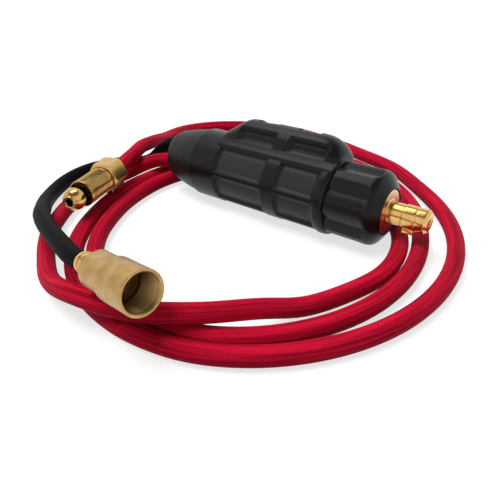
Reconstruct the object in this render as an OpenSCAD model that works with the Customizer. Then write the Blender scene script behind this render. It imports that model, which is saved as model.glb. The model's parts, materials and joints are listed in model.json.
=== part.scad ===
// Power plug of a water-cooled TIG torch set, with its two braided hose leads.
// Millimetres, +Z up. X runs along the plug, towards its pin. The origin lies on the
// surface that the plug rests on, under the middle of its length.

/* [Barrel] */
// Radius of the barrel over its lands
barrel_r = 21.7; // [20:0.1:24]
// Length of the barrel, from the rear boot to the knob
barrel_l = 96.5; // [90:0.5:104]
// Radius of the bore that holds the brass block
block_bore_r = 15.1; // [14:0.1:16]
// Depth of the windows in the grip
window_depth = 2; // [1:0.1:3]
// Turn from one window to the next, in degrees
window_pitch = 53.5; // [50:0.5:55]
// Width of the rib between two windows, in degrees
window_rib = 17.5; // [12:0.5:24]
// Length of the rear windows
rear_window_l = 35.6; // [28:0.1:40]
// Length of the front windows
front_window_l = 25.8; // [20:0.1:30]
// Width of the ring band between the two rows of windows
ring_band = 8.8; // [5:0.1:12]
// Length of the bead at the front of the barrel
bead_l = 6; // [5:0.1:9]
// Height of the bead over the barrel
bead_rise = 0.5; // [0.3:0.1:1.5]

/* [Cover] */
// Radius of the cover's rounded back
cover_r = 14; // [12:0.25:15]
// Distance from the barrel's axis to the centre of the cover's back
cover_rise = 19; // [18.5:0.1:21]
// Length of the cover
cover_l = 79; // [70:0.5:84]
// Wall of the cover
cover_wall = 2.4; // [1.5:0.1:4]
// How far the foot of the cover spreads on each side
cover_flare = 1.3; // [0.5:0.1:1.5]
// Width of the flange along each side of the cover
cover_flange = 1.8; // [1:0.1:2]
// Depth of the panels sunk into the cover
panel_depth = 2; // [1:0.1:2.2]
// Turn of the cover from upright, in degrees
cover_roll = -18; // [-25:1:25]

/* [Boot] */
// Length of the rear boot outside the barrel
boot_l = 26.5; // [22:0.5:32]
// Radius of the boot where it meets the barrel
boot_r = 21; // [19:0.1:22]
// Radius of the boot at its end
boot_end_r = 15.5; // [14:0.1:17]
// Distance of each hose from the barrel's axis
hose_offset = 5.75; // [5.5:0.05:6.5]

/* [Knob] */
// Radius of the knob over its lands
knob_r = 21; // [19:0.1:22]
// Length of the knob
knob_l = 30.1; // [27:0.1:36]
// Length of the knob's rounded nose
knob_nose = 6.7; // [6:0.1:9]
// Radius of the knob's front rim
knob_rim_r = 13.5; // [13.3:0.1:14.5]
// Number of flutes
knob_flutes = 7; // [5:1:8]
// Width of a flute
flute_w = 12.3; // [8:0.1:13]
// Depth of a flute in its middle
flute_depth = 2.2; // [1.6:0.1:2.6]
// Gap between the knob and the barrel
knob_gap = 0.3; // [0.2:0.1:1]

/* [Plug] */
// Diameter of the plug's pin
pin_d = 13; // [9:0.5:13]
// Length of the pin in front of its shoulder
pin_l = 22; // [18:0.5:28]
// Diameter of the pin's neck
neck_d = 12.2; // [8:0.1:12.4]
// Length of the pin's neck
neck_l = 8.5; // [5:0.1:10]
// Chamfer at the tip of the pin
tip_chamfer = 1.5; // [0.5:0.1:2]
// Diameter of the passage through the plug
passage_d = 3.3; // [2:0.1:4]
// Radius of the plug's shoulder
shoulder_r = 12.3; // [11:0.1:12.6]
// Distance of the shoulder's face behind the knob's rim
shoulder_sunk = 0.4; // [0:0.1:2]
// Height of the locking lug over the pin
lug_rise = 2.3; // [1.5:0.1:3]
// Length of the locking lug
lug_l = 6; // [4:0.1:8]
// Width of the locking lug
lug_w = 4.2; // [3:0.1:6]
// Width of the relief groove between the lug and the plain end of the pin
relief_w = 0.7; // [0.6:0.1:1]
// Depth of the relief groove
relief_depth = 0.2; // [0.2:0.1:0.4]
// Radius of the plug's journal in the block
journal_r = 7; // [6:0.1:7.5]
// Running clearance of the journal, all round
running = 0.05; // [0.02:0.01:0.1]

/* [Hoses] */
// Outer diameter of both hoses
hose_d = 9.5; // [9:0.1:9.8]
// Corners of the red hose's section
red_sides = 6; // [6:1:8]
// Corners of the black hose's section
black_sides = 8; // [8:1:12]
// Rings in each turn of the red hose
rings_per_turn = 24; // [12:12:24]

/* [Union nut] */
// Size of the nut's hexagon across its flats
nut_flats = 18; // [17:0.5:19]
// Length of the nut
nut_l = 39.5; // [36:0.5:42]
// Length of the nut's hexagon
nut_hex_l = 15; // [12:0.5:18]
// Diameter of the male thread
thread_d = 15.9; // [14:0.1:17]
// Radius of the nipple's ball nose
ball_r = 6.6; // [6:0.1:7]

/* [Coupling] */
// Outer diameter of the female coupling
coupling_d = 19.6; // [19:0.1:20.4]
// Length from the hose's end to the mouth of the coupling
coupling_reach = 45; // [42:0.1:50]
// Length of the threaded tail that shows behind the coupling
tail_shown = 10.7; // [8:0.1:14]
// Radius of the coupling's female thread
mouth_r = 7.95; // [7:0.05:8.5]
// Depth of the mouth
mouth_depth = 16; // [12:0.5:20]
// Length of the thread's run-out at the bottom of the mouth
runout_l = 1.6; // [1.2:0.1:3]
// Size across the two wrench flats
wrench_flats = 17.4; // [16:0.1:18.5]

/* [Hidden] */
$fn = 72;

// Places along the plug's axis
axis_h = barrel_r + bead_rise;
total_l = boot_l + barrel_l + knob_gap + knob_l - shoulder_sunk + pin_l;
rear_x = -total_l / 2;
barrel_x = rear_x + boot_l;
bead_x = barrel_x + barrel_l - bead_l;
barrel_end = barrel_x + barrel_l;
window_land = 0.4;
front_window_x = bead_x - window_land - front_window_l;
rear_window_x = front_window_x - ring_band - rear_window_l;
knob_x = barrel_end + knob_gap;
knob_end = knob_x + knob_l;
shoulder_x = knob_end - shoulder_sunk;
tip_x = shoulder_x + pin_l;
cover_end = barrel_end - 0.5;
cover_x = cover_end - cover_l;

// The brass work inside the barrel
front_wall = 7;
block_end = barrel_end - front_wall;
block_l = 37;
block_x = block_end - block_l;
block_r = block_bore_r - 0.1;
washer_t = 1.4;
washer_r = 12;
collar_r = 8.4;
hex_flats = 16;
hex_x = knob_x + 1.5;
shoulder_t = 3.5;
bush_r = 8.5;
bush_l = 16;
bush_x = block_end - washer_t - 0.1 - bush_l;
band_l = 7;
band_x = bush_x - 1 - band_l;
band_r = 8.4;
chamber_r = 10;
chamber_l = 8;
ring_x = block_x + chamber_l - 1.5;
ring_t = 1.4;
ring_groove_r = 5.9;
ring_r = 8.6;
journal_end = ring_x - 2.5;
seal_t = 1;
manifold_l = 16;
manifold_x = block_x - seal_t - manifold_l;
tail_thread_r = 4;
tail_thread_l = 7;
tail_flats = 9;
tail_collar_l = 6;
hose_start = manifold_x - tail_collar_l;
crimp_gap = 1.5;
nut_crimp_l = 18;
crimp_r = 5.6;
hose_fit = 0.1;
hose_r = hose_d / 2;
spigot_r = 18.3;
spigot_l = 10;
crimp_l = hose_start - barrel_x - spigot_l - crimp_gap;
bore_step_x = manifold_x + 4.5;
screw_r = 2.5;
screw_places = [block_end - 20, block_end - 10];

// Union nut and nipple, along their own axis from the back of the nut
nut_at = [-103.5, -46.2, 20];
nut_heading = -69;
nut_hose_end = 24;
nut_bore_r = 6.15;
nipple_flange_r = 5.8;
nipple_neck_r = 4.6;
ball_x = nut_l + 6;
nose_x = ball_x + 4;

// Coupling, along its own axis from the end of the black hose
coupling_at = [-14.5, -136.4, 27.3];
coupling_heading = -8.5;
coupling_pitch = 7.4;
coupling_tail_r = 5;
flats_l = 13;

// Hose positions where they leave the boot
roll_across = -hose_offset * sin(cover_roll);
roll_up = hose_offset * cos(cover_roll);

// ---- Routes -------------------------------------------------------------------
// A smooth curve through every point of a list of numbers or of points
function between(a, b, c, d, t) =
  b + t * (c - a) / 2 + t * t * (a - 2.5 * b + 2 * c - d / 2)
  + t * t * t * (-a / 2 + 1.5 * b - 1.5 * c + d / 2);
function item(list, i) = list[max(0, min(len(list) - 1, i))];
function through(list, at) =
  let (i = floor(at), t = at - floor(at))
  between(item(list, i - 1), item(list, i), item(list, i + 1), item(list, i + 2), t);
function unit(v) = v / norm(v);

// The turns of the red hose lie round one centre. Their radius is set every 30 degrees,
// from the bottom left, in the order in which the hose runs.
coil_centre = [-14.5, -35];
coil_start = 210;
coil_step = 30;
coil_radii = [
  105, 104, 109, 101, 89, 93.5, 95, 93, 93, 94, 88,
  77.5, 73.5, 79, 89.5, 102.5, 104.5, 104, 107, 118, 130, 127, 101,
  89, 84.5, 90, 101, 113, 118, 121, 125.5, 134, 155
];
// Where the hose climbs over its other turns: angle, rise, half the flat top, run up
coil_hump = [288, 10, 19, 22];

function hump(angle, h) =
  let (off = abs(angle - h[0]) - h[2])
  off <= 0 ? h[1] : off >= h[3] ? 0 : h[1] * (1 + cos(180 * off / h[3])) / 2;
function coil_height(angle) = hose_r + hump(angle, coil_hump);
function coil_point(k) =
  let (
    angle = coil_start + k * 360 / rings_per_turn,
    r = through(coil_radii, k * 360 / rings_per_turn / coil_step)
  )
  [coil_centre.x + r * cos(angle), coil_centre.y + r * sin(angle), coil_height(angle)];
coil_rings = (len(coil_radii) - 1) * coil_step * rings_per_turn / 360;
coil = [for (k = [0 : coil_rings]) coil_point(k)];

// The red hose before its turns: out of the boot, over its own later turns and down
red_lead = [
  [-93, -2.2, 16.7], [-99, -4.2, 16.4], [-105, -7.8, 15.4], [-110.5, -13.2, 13.2],
  [-115.5, -20, 10], [-119.2, -28.5, 7.4], [-121, -39, 5.4], [-121, -50.5, 4.75],
  [-118.5, -63, 4.75], [-113, -75, 4.75]
];
// The red hose after its turns: round the back, over the black hose and into the nut
red_end = [
  [-25.5, 124, 4.75], [-42, 129, 4.75], [-58.5, 132, 4.75], [-78, 134.5, 4.75],
  [-97.5, 133, 4.75], [-115, 128.5, 4.75], [-131.5, 120, 4.75], [-145.5, 108.5, 4.75],
  [-154.5, 95.5, 5], [-157.5, 81, 6], [-154.5, 66.5, 8], [-148, 50.5, 10.5],
  [-139, 34, 14], [-131, 19.5, 17.9], [-125, 6.8, 20.6], [-121, -6, 21.7],
  [-115.3, -18, 21.3], [-110.9, -29, 20.5]
];
// The black hose: out of the boot, down to the surface, over the red turns
black_route = [
  [-94, 1.9, 27.2], [-100.5, 2.3, 25.3], [-107, 2.8, 21.3], [-113, 3.2, 16.3],
  [-119, 3.2, 11.2], [-125.5, 2.2, 7.5], [-132.5, 0, 5.4], [-140, -4.4, 4.8],
  [-146.3, -12, 4.75], [-150.3, -22, 4.75], [-151.5, -34, 4.75], [-149.5, -46, 4.75],
  [-145, -58, 4.75], [-138, -69.5, 5], [-128.5, -80.5, 6.5], [-117, -90.5, 9.5],
  [-104.5, -99.5, 13], [-89.8, -109.2, 17.2], [-74.7, -116.8, 19.7],
  [-58.5, -123.5, 22], [-42.2, -129.4, 24.1]
];

nut_dir = [cos(nut_heading), sin(nut_heading), 0];
coupling_dir = [
  cos(coupling_pitch) * cos(coupling_heading),
  cos(coupling_pitch) * sin(coupling_heading),
  sin(coupling_pitch)
];
red_exit_y = -roll_across;
red_exit_z = axis_h - roll_up;
black_exit_y = roll_across;
black_exit_z = axis_h + roll_up;

red_path = concat(
  [[hose_start, red_exit_y, red_exit_z], [hose_start - hose_d, red_exit_y, red_exit_z],
   [rear_x, red_exit_y, red_exit_z]],
  red_lead,
  coil,
  red_end,
  [nut_at - 10 * nut_dir, nut_at, nut_at + nut_dir * (nut_hose_end - hose_d),
   nut_at + nut_dir * nut_hose_end]
);
black_path = concat(
  [[hose_start, black_exit_y, black_exit_z], [hose_start - hose_d, black_exit_y, black_exit_z],
   [rear_x, black_exit_y, black_exit_z]],
  black_route,
  [coupling_at - 12 * coupling_dir, coupling_at]
);

// Least gap between two stretches of a route that aren't neighbours along it
function gap_to_later(path, i, apart) =
  min([for (j = [i + apart : len(path) - 2]) near(path[i], path[j], path[j + 1])]);
function near(p, a, b) =
  let (t = max(0, min(1, (p - a) * (b - a) / ((b - a) * (b - a)))))
  norm(p - a - t * (b - a));
function self_gap(path, apart, d) =
  min([for (i = [0 : len(path) - apart - 2]) gap_to_later(path, i, apart)]) - d;
function path_gap(path, other, d) =
  min([for (p = path) for (j = [0 : len(other) - 2]) near(p, other[j], other[j + 1])]) - d;
function path_length(path) =
  let (steps = [for (i = [1 : len(path) - 1]) norm(path[i] - path[i - 1])])
  steps * [for (s = steps) 1];

// A tube of one skin, swept along a route
function turned(path) = [
  for (i = 0, side = [0, 0, 1]; i < len(path); i = i + 1,
       side = i < len(path) ? carried(side, tangent(path, i)) : side)
    carried(side, tangent(path, i))
];
function tangent(path, i) = unit(item(path, i + 1) - item(path, i - 1));
function carried(side, dir) = unit(side - dir * (side * dir));
module tube(path, r, sides) {
  sides_up = turned(path);
  rings = len(path);
  points = [
    for (i = [0 : rings - 1])
      let (dir = tangent(path, i), up = sides_up[i], across = cross(dir, up))
      for (k = [0 : sides - 1])
        path[i] + r * (cos(360 * k / sides) * up + sin(360 * k / sides) * across)
  ];
  walls = [
    for (i = [0 : rings - 2])
      for (k = [0 : sides - 1])
        let (a = i * sides + k, b = i * sides + (k + 1) % sides, up = sides)
        for (face = [[a, a + up, b + up], [a, b + up, b]]) face
  ];
  first = [for (k = [1 : sides - 2]) [0, k, k + 1]];
  last = [for (k = [1 : sides - 2]) let (z = (rings - 1) * sides) [z, z + k + 1, z + k]];
  polyhedron(points, concat(walls, first, last), convexity = 12);
}

echo(red_length = path_length(red_path), black_length = path_length(black_path));
echo(red_gap_to_itself = self_gap(red_path, 8, hose_d));
echo(red_gap_to_black = path_gap(red_path, black_path, hose_d));

// ---- Frames -------------------------------------------------------------------
module along_x(x) translate([x, 0, 0]) rotate([0, 90, 0]) children();
module level() translate([0, 0, axis_h]) children();
module rolled() translate([0, 0, axis_h]) rotate([cover_roll, 0, 0]) children();
module at_nut() translate(nut_at) rotate([0, 0, nut_heading]) children();
module at_coupling()
  translate(coupling_at) rotate([0, -coupling_pitch, coupling_heading]) children();

// A rod or a ring along X
module rod(x, l, r) along_x(x) cylinder(h = l, r = r);
module ring(x, l, r, bore) {
  difference() {
    rod(x, l, r);
    rod(x - 1, l + 2, bore);
  }
}
module hexagon(x, l, flats) along_x(x) cylinder(h = l, r = flats / sqrt(3), $fn = 6);

// Points of an arc, for profiles
function arc(centre, r, from, to, steps = 6) = [
  for (k = [0 : steps])
    let (a = from + (to - from) * k / steps)
    centre + r * [cos(a), sin(a)]
];

// ---- Barrel -------------------------------------------------------------------
window_half = (window_pitch - window_rib) / 2;

// Cutter for one window: a ring groove with sloped ends, kept to a wedge with sloped sides
module window_cut(x, l) {
  floor_r = barrel_r - window_depth;
  half_w = floor_r * sin(window_half);
  reach = window_depth + 3;
  intersection() {
    along_x(0) rotate_extrude() polygon([
      [floor_r, x + window_depth], [floor_r, x + l - window_depth],
      [floor_r + reach, x + l - window_depth + reach],
      [floor_r + reach, x + window_depth - reach]
    ]);
    rotate([90, 0, 90]) translate([0, 0, x - 10]) linear_extrude(l + 20) polygon([
      [-half_w, floor_r * cos(window_half) - 1], [-half_w - reach - 1, floor_r + reach],
      [half_w + reach + 1, floor_r + reach], [half_w, floor_r * cos(window_half) - 1]
    ]);
  }
}

module barrel() color("dimgray") rolled() {
  difference() {
    rotate([window_pitch / 2, 0, 0]) along_x(0) rotate_extrude() polygon(concat(
      [[block_bore_r, bore_step_x], [spigot_r, bore_step_x - 6], [spigot_r, barrel_x]],
      [[barrel_r - 0.6, barrel_x], [barrel_r, barrel_x + 0.6]],
      [[barrel_r, bead_x]],
      arc([barrel_r, bead_x + 1.2] + [bead_rise - 1.2, 0], 1.2, -50, 0, 4),
      arc([barrel_r + bead_rise - 1.5, barrel_end - 1.5], 1.5, 0, 90, 5),
      [[collar_r + 0.3, barrel_end], [collar_r + 0.3, block_end], [block_bore_r, block_end]]
    ));
    for (k = [-2 : 2]) rotate([180 + k * window_pitch, 0, 0]) {
      window_cut(rear_window_x, rear_window_l);
      window_cut(front_window_x, front_window_l);
    }
    for (x = screw_places) translate([x, 0, block_bore_r - 1]) cylinder(h = 12, r = screw_r + 0.1);
  }
}

// ---- Cover --------------------------------------------------------------------
cover_top = cover_rise + cover_r;
cover_half = cover_r + cover_flare;
function cover_side() = concat(
  [[cover_x, barrel_r - 10], [cover_x, barrel_r + 2.2]],
  [[cover_x + 8, barrel_r + 8.6], [cover_x + 10.5, cover_top - 0.9]],
  [[cover_x + 13.5, cover_top + 0.1]],
  [[cover_end - 12, cover_top + 0.1], [cover_end - 8.5, cover_top - 0.9]],
  [[cover_end - 4.6, cover_top - 3], [cover_end - 1.6, cover_top - 6.2]],
  [[cover_end, barrel_r + 2], [cover_end, barrel_r - 10]]
);
cover_foot = barrel_r - 5.2;
panel_rear_x = cover_x + 11;
panel_rear_l = 27;
panel_front_x = panel_rear_x + panel_rear_l + 8;
panel_front_l = 26;
top_panel_rear_x = cover_x + 18;
top_panel_rear_l = 14;
top_panel_front_l = 15;
side_panel_turn = 70;
side_panel_half = 14;
top_panel_half = 16;

module cover_bar(r, x, l) translate([0, 0, cover_rise]) rod(x, l, r);
// One sunk panel on the cover's back: a sleeve with sloped ends, kept to a sector
module cover_panel(x, l, half, turn) {
  low = cover_r - panel_depth;
  reach = panel_depth + 3;
  translate([0, 0, cover_rise]) rotate([turn, 0, 0]) intersection() {
    along_x(0) rotate_extrude() polygon([
      [low, x + panel_depth], [low, x + l - panel_depth],
      [low + reach, x + l - panel_depth + reach], [low + reach, x + panel_depth - reach]
    ]);
    rotate([90, 0, 90]) translate([0, 0, x - 10]) linear_extrude(l + 20) polygon([
      [-low * sin(half), low * cos(half) - 1],
      [-low * sin(half) - reach - 1, low + reach],
      [low * sin(half) + reach + 1, low + reach],
      [low * sin(half), low * cos(half) - 1]
    ]);
  }
}

module lobe_cover() color("dimgray") rolled() {
  difference() {
    union() {
      intersection() {
        union() {
          cover_bar(cover_r, cover_x - 1, cover_l + 2);
          rotate([90, 0, 90]) translate([0, 0, cover_x]) linear_extrude(cover_l) polygon([
            [-cover_half, barrel_r - 12], [-cover_half, cover_foot], [-cover_r, cover_rise],
            [cover_r, cover_rise], [cover_half, cover_foot], [cover_half, barrel_r - 12]
          ]);
        }
        rotate([90, 0, 0]) translate([0, 0, -20]) linear_extrude(40) polygon(cover_side());
      }
      intersection() {
        translate([cover_x - 2, -cover_half - cover_flange, 0])
          cube([cover_l + 1, 2 * (cover_half + cover_flange), barrel_r + 1]);
        rod(cover_x - 2, cover_l + 1, barrel_r + 1);
      }
    }
    rod(cover_x - 5, cover_l + 10, barrel_r);
    rod(bead_x - 1, bead_l + 2, barrel_r + bead_rise + 0.1);
    intersection() {
      cover_bar(cover_r - cover_wall - panel_depth, cover_x + 14, cover_l - 24);
      translate([cover_x, -20, barrel_r]) cube([cover_l, 40, 20]);
    }
    for (turn = [-side_panel_turn, side_panel_turn]) {
      cover_panel(panel_rear_x, panel_rear_l, side_panel_half, turn);
      cover_panel(panel_front_x, panel_front_l, side_panel_half, turn);
    }
    cover_panel(top_panel_rear_x, top_panel_rear_l, top_panel_half, 0);
    cover_panel(panel_front_x, top_panel_front_l, top_panel_half, 0);
  }
}

// ---- Boot ---------------------------------------------------------------------
module rear_boot() color("black") rolled() {
  difference() {
    along_x(0) rotate_extrude() polygon(concat(
      [[0, rear_x]],
      arc([boot_end_r - 3.5, rear_x + 3.5], 3.5, -90, -12, 5),
      [[boot_end_r + 1.8, rear_x + 0.3 * boot_l], [boot_end_r + 3.6, rear_x + 0.58 * boot_l]],
      [[boot_r - 0.8, rear_x + 0.82 * boot_l], [boot_r, barrel_x]],
      [[spigot_r - hose_fit, barrel_x], [spigot_r - hose_fit, barrel_x + spigot_l]],
      [[0, barrel_x + spigot_l]]
    ));
    for (side = [-1, 1]) translate([0, 0, side * hose_offset])
      rod(rear_x - 1, boot_l + spigot_l + 2, hose_r + hose_fit);
  }
}

// ---- Knob ---------------------------------------------------------------------
knob_nose_x = knob_end - knob_nose;
nose_fillet = 3;
knob_clock = 55;

// One flute: a round groove along the knob with a rounded front end
flute_sagitta = flute_depth - knob_r + sqrt(knob_r * knob_r - flute_w * flute_w / 4);
flute_r = (flute_w * flute_w / 4 + flute_sagitta * flute_sagitta) / (2 * flute_sagitta);
module flute_cut() {
  front = knob_nose_x + 1.5 - flute_w / 2;
  intersection() {
    translate([0, 0, knob_r - flute_depth + flute_r]) rod(knob_x - 1, knob_l + 2, flute_r);
    linear_extrude(knob_r + 2) union() {
      translate([knob_x - 2, -flute_w]) square([front - knob_x + 2, 2 * flute_w]);
      translate([front, 0]) circle(r = flute_w / 2 + 0.3);
    }
  }
}

module knob() color("dimgray") level() {
  difference() {
    along_x(0) rotate_extrude() polygon(concat(
      [[collar_r + 0.4, knob_x], [knob_r - 0.8, knob_x], [knob_r, knob_x + 0.8]],
      arc([knob_r - nose_fillet, knob_nose_x], nose_fillet, 0, 55, 4),
      arc([knob_rim_r - 0.6, knob_end - 1], 1, 55, 90, 3),
      [[shoulder_r + 0.1, knob_end], [shoulder_r + 0.1, shoulder_x - shoulder_t]],
      [[collar_r + 0.4, shoulder_x - shoulder_t]]
    ));
    for (k = [0 : knob_flutes - 1])
      rotate([knob_clock + k * 360 / knob_flutes, 0, 0]) flute_cut();
    hexagon(hex_x, shoulder_x - hex_x, hex_flats + 0.2);
  }
}

// ---- Plug ---------------------------------------------------------------------
lug_turn = 165;
lug_x = shoulder_x + neck_l + 0.5;
o_ring_r = 0.8;
o_ring_places = [bush_x + 3, bush_x + bush_l - 3];

module plug() color("gold") level() {
  difference() {
    union() {
      along_x(0) rotate_extrude() polygon([
        [0, journal_end], [journal_r - 0.6, journal_end], [journal_r, journal_end + 0.6],
        [journal_r, block_end], [collar_r, block_end], [collar_r, hex_x], [0, hex_x]
      ]);
      hexagon(hex_x, shoulder_x - shoulder_t - hex_x, hex_flats);
      rod(shoulder_x - shoulder_t, shoulder_t, shoulder_r);
      rod(shoulder_x, neck_l, neck_d / 2);
      rod(shoulder_x + neck_l, pin_l - neck_l - tip_chamfer, pin_d / 2);
      along_x(tip_x - tip_chamfer)
        cylinder(h = tip_chamfer, r1 = pin_d / 2, r2 = pin_d / 2 - tip_chamfer);
      rotate([lug_turn, 0, 0]) intersection() {
        translate([lug_x, -lug_w / 2, 0]) cube([lug_l, lug_w, pin_d]);
        rod(lug_x - 1, lug_l + 2, pin_d / 2 + lug_rise);
      }
    }
    rod(journal_end - 1, tip_x - journal_end + 2, passage_d / 2);
    ring(ring_x, ring_t, journal_r + 1, ring_groove_r);
    ring(lug_x + lug_l + 0.2, relief_w, pin_d / 2 + 1, pin_d / 2 - relief_depth);
    for (x = o_ring_places) ring(x - 1, 2, journal_r + 1, journal_r - 2 * o_ring_r - running);
  }
}

module o_rings() color("black") level() {
  for (x = o_ring_places)
    along_x(x) rotate_extrude() translate([journal_r - o_ring_r, 0]) circle(r = o_ring_r, $fn = 24);
}

module retaining_ring() color("silver") level() {
  difference() {
    ring(ring_x + 0.1, ring_t - 0.2, ring_r, ring_groove_r + running);
    translate([ring_x - 1, -1.5, 0]) cube([ring_t + 2, 3, ring_r + 1]);
  }
}

// ---- Brass work inside the barrel ----------------------------------------------
module bearing_block() color("goldenrod") rolled() {
  difference() {
    rod(block_x, block_l, block_r);
    rod(block_x - 1, block_l + 2, journal_r + running);
    rod(block_x - 1, chamber_l + 1, chamber_r);
    rod(block_end - washer_t - 0.1, washer_t + 1, washer_r + 0.1);
    rod(bush_x, block_end - bush_x + 1, bush_r);
    ring(band_x, band_l, band_r, journal_r);
    for (x = screw_places) translate([x, 0, block_r - 1]) cylinder(h = 3, r = screw_r + 0.1);
  }
}

module bearing_bush() color("peru") rolled() ring(bush_x, bush_l, bush_r, journal_r + running);

// A sprung band: a thin sleeve with slots between its louvres
module contact_band() color("orange") rolled() {
  louvres = 12;
  difference() {
    ring(band_x, band_l, band_r, journal_r + running);
    for (k = [0 : louvres - 1]) rotate([k * 360 / louvres, 0, 0])
      translate([band_x + 1.5, -0.5, 0]) cube([band_l - 3, 1, band_r + 1]);
  }
}

module thrust_washer() color("ivory") rolled()
  ring(block_end - washer_t - 0.1, washer_t, washer_r, collar_r - 1.2);

module hose_manifold() color("goldenrod") rolled() {
  plenum_x = manifold_x + manifold_l - 5;
  difference() {
    union() {
      rod(manifold_x, manifold_l, block_r);
      rod(manifold_x + manifold_l, seal_t + 3, chamber_r - 0.1);
    }
    rod(plenum_x, 20, passage_d);
    translate([plenum_x, 0, -hose_offset - 1.5]) cylinder(h = 2 * hose_offset + 3, r = 2);
    for (side = [-1, 1]) translate([0, 0, side * hose_offset]) {
      rod(manifold_x - 1, tail_thread_l + 1, tail_thread_r);
      rod(manifold_x, manifold_l - 5, 2);
    }
  }
}

module manifold_seal() color("black") rolled()
  ring(manifold_x + manifold_l, seal_t, block_r - 0.5, chamber_r);

module block_screws() color("silver") rolled() {
  for (x = screw_places) translate([x, 0, block_r - 1]) difference() {
    cylinder(h = barrel_r - block_r - 1, r = screw_r);
    translate([0, 0, barrel_r - block_r - 3]) cylinder(h = 4, r = 1.3, $fn = 6);
  }
}

// ---- Hose tails and crimps -----------------------------------------------------
module hose_tail(side) color("goldenrod") rolled() translate([0, 0, side * hose_offset]) {
  difference() {
    union() {
      hexagon(hose_start, tail_collar_l, tail_flats);
      rod(manifold_x, tail_thread_l, tail_thread_r);
    }
    rod(hose_start - 1, tail_collar_l + tail_thread_l + 2, 1.8);
  }
}
module red_tail() hose_tail(-1);
module black_tail() hose_tail(1);

// A ferrule pressed down in three bands
module crimp(x, l, r) {
  difference() {
    ring(x, l, r, hose_r + 0.05);
    for (k = [1 : 3]) ring(x + l * k / 4 - 1, 2, r + 1, r - 0.4);
  }
}
module red_crimp() color("silver") rolled()
  translate([0, 0, -hose_offset]) crimp(hose_start - crimp_l, crimp_l, crimp_r);
module black_crimp() color("silver") rolled()
  translate([0, 0, hose_offset]) crimp(hose_start - crimp_l, crimp_l, crimp_r);

// ---- Hoses --------------------------------------------------------------------
module red_hose() color("crimson") tube(red_path, hose_r, red_sides);
module black_hose() color("black") tube(black_path, hose_r, black_sides);

// ---- Union nut on its nipple ----------------------------------------------------
module union_nut() color("gold") at_nut() {
  hex_r = nut_flats / sqrt(3);
  difference() {
    union() {
      intersection() {
        hexagon(0, nut_hex_l, nut_flats);
        along_x(0) rotate_extrude() polygon([
          [0, 0], [hex_r - 1.2, 0], [hex_r + 0.6, 1.2], [hex_r + 0.6, nut_hex_l - 1.6],
          [hex_r - 1.6, nut_hex_l], [0, nut_hex_l]
        ]);
      }
      rod(nut_hex_l, nut_l - nut_hex_l - 1, thread_d / 2);
      along_x(nut_l - 1) cylinder(h = 1, r1 = thread_d / 2, r2 = thread_d / 2 - 1);
    }
    rod(-1, nut_hose_end + 4, nut_bore_r);
    rod(0, nut_l + 1, nipple_neck_r + 0.3);
  }
}

module ball_nipple() color("gold") at_nut() {
  difference() {
    union() {
      rod(nut_hose_end, 2, nipple_flange_r);
      rod(nut_hose_end, ball_x - nut_hose_end, nipple_neck_r);
      intersection() {
        translate([ball_x, 0, 0]) sphere(r = ball_r);
        rod(nut_l + 0.4, nose_x - nut_l - 0.4, ball_r + 1);
      }
      rod(nose_x, 2, 3.6);
    }
    rod(nut_hose_end - 1, nut_l, 2.2);
  }
}

module nut_crimp() color("silver") at_nut()
  crimp(nut_hose_end - nut_crimp_l, nut_crimp_l, nipple_flange_r);

// ---- Coupling on the black hose -------------------------------------------------
module coupling_tail() color("goldenrod") at_coupling() {
  difference() {
    union() {
      rod(0, 1.6, coupling_tail_r + 0.3);
      rod(0, tail_shown + 9, coupling_tail_r);
    }
    rod(-1, tail_shown + 11, 2.5);
  }
}

module female_coupling() color("darkgoldenrod") at_coupling() {
  bore_x = coupling_reach - mouth_depth;
  out_r = coupling_d / 2;
  difference() {
    along_x(0) rotate_extrude() polygon(concat(
      [[0, tail_shown]],
      arc([out_r - 1.5, tail_shown + 1.5], 1.5, -90, 0, 4),
      [[out_r, coupling_reach - 0.4], [out_r - 0.4, coupling_reach], [0, coupling_reach]]
    ));
    for (side = [0, 180]) rotate([side, 0, 0])
      translate([tail_shown - 1, -15, wrench_flats / 2]) cube([flats_l + 1, 30, 10]);
    rod(tail_shown - 1, 10, coupling_tail_r);
    rod(tail_shown, coupling_reach, 2.5);
    rod(bore_x, mouth_depth + 1, mouth_r);
    rod(bore_x, runout_l, mouth_r + 0.5);
    along_x(coupling_reach - 1) cylinder(h = 1.01, r1 = mouth_r, r2 = mouth_r + 1);
  }
}

module seat_washer() color("peru") at_coupling()
  ring(coupling_reach - mouth_depth, 1, mouth_r - 0.3, 3);

barrel();
lobe_cover();
rear_boot();
knob();
plug();
bearing_block();
bearing_bush();
contact_band();
thrust_washer();
o_rings();
retaining_ring();
hose_manifold();
manifold_seal();
block_screws();
red_tail();
red_crimp();
black_tail();
black_crimp();
red_hose();
black_hose();
union_nut();
ball_nipple();
nut_crimp();
coupling_tail();
female_coupling();
seat_washer();
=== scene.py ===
"""Dresses the power plug of a TIG torch set and its two braided hose leads."""

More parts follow.
